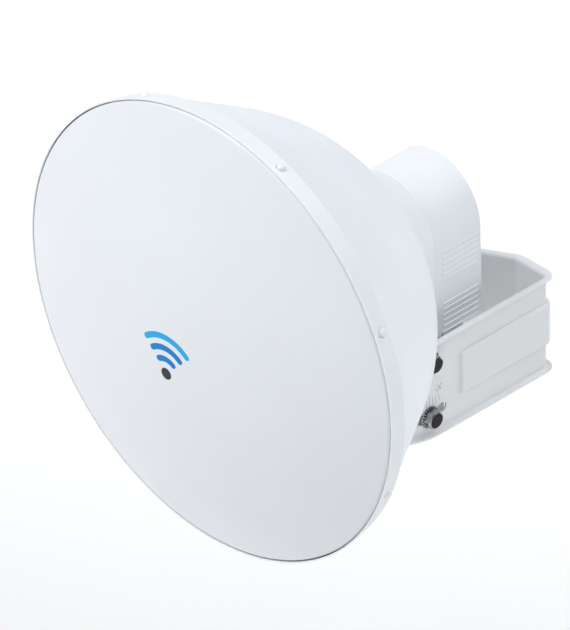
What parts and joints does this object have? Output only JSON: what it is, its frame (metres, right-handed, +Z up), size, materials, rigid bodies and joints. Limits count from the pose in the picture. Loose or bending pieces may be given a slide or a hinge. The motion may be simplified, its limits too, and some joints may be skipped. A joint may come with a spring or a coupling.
{
  "type": "outdoor wireless bridge",
  "caption": "Dish radio link with a domed cover, an arched radio shroud behind it and a tilting U-shaped pole bracket.",
  "frame": {"origin": "centre of the four clamp bolt holes, on the outer face of the bracket's back wall", "axes": "+Y towards the pole, +Z up; the dish looks along -Y; X across, the tilt axis lies along X"},
  "size_m": [0.3772, 0.3385, 0.3771],
  "materials": {
    "bracket_paint": "satin powder coat, very fine orange peel",
    "dish_paint": "satin powder coat",
    "ring_paint": "satin powder coat",
    "screw_paint": "satin, painted head",
    "cover_plastic": "smooth semi-gloss moulding",
    "shroud_plastic": "fine moulded texture",
    "radio_plastic": "fine moulded texture",
    "catch_plastic": "fine moulded texture",
    "spacer_plastic": "plain nylon",
    "feed_plastic": "turned",
    "lead_jacket": "satin",
    "seal_rubber": "matte",
    "bare_aluminium": "machined",
    "radio_cast": "cast, light paint",
    "bright_steel": "bright zinc plate",
    "contact_brass": "plated",
    "board_laminate": "solder resist",
    "light_pipe": "clear",
    "printed_mark": "screen print"
  },
  "bodies": {
    "pole_bracket": {"mount_band": "bracket_paint"},
    "dish_assembly": {"reflector_dish": "dish_paint", "radome": "cover_plastic", "radome_gasket": "seal_rubber", "rim_ring": "ring_paint", "rim_screws": "screw_paint", "feed_tube": "bare_aluminium", "feed_lens": "feed_plastic", "splash_plate": "bare_aluminium", "feed_nut": "bare_aluminium", "feed_housing": "bare_aluminium", "feed_probes": "contact_brass", "feed_sockets": "contact_brass", "radio_sockets": "contact_brass", "jumper_plugs": "contact_brass", "tilt_yoke": "bracket_paint", "hub_screws": "bright_steel", "neck": "shroud_plastic", "radio_plate": "shroud_plastic", "radio_shroud": "shroud_plastic", "shroud_screws": "bright_steel", "radio_cradle": "bare_aluminium", "radio_front_case": "radio_plastic", "radio_seal": "seal_rubber", "radio_rear_case": "radio_cast", "radio_board": "board_laminate", "board_shield": "bright_steel", "ethernet_jacks": "bright_steel", "status_lights": "light_pipe", "case_screws": "bright_steel", "ground_screw": "contact_brass", "bolt_nuts": "bright_steel", "pivot_spacers": "spacer_plastic", "jumper_left": "lead_jacket", "jumper_right": "lead_jacket", "pivot_bolts": "bright_steel", "lock_bolts": "bright_steel"},
    "port_cover": {"port_cover": "radio_plastic"},
    "cover_catch": {"cover_catch": "catch_plastic"}
  },
  "joints": [
    {"name": "elevation_tilt", "type": "hinge", "parent": "pole_bracket", "child": "dish_assembly", "pos_m": [0, -0.125, 0.026], "axis": [1, 0, 0], "range_deg": [-15, 15]},
    {"name": "port_cover_slide", "type": "slide", "parent": "dish_assembly", "child": "port_cover", "axis": [0, 0, -1], "range_m": [0, 0.03]},
    {"name": "catch_press", "type": "slide", "parent": "dish_assembly", "child": "cover_catch", "axis": [0, -1, 0], "range_m": [0, 0.0012], "stiffness_N_per_m": 600, "springref_m": -0.0005}
  ]
}
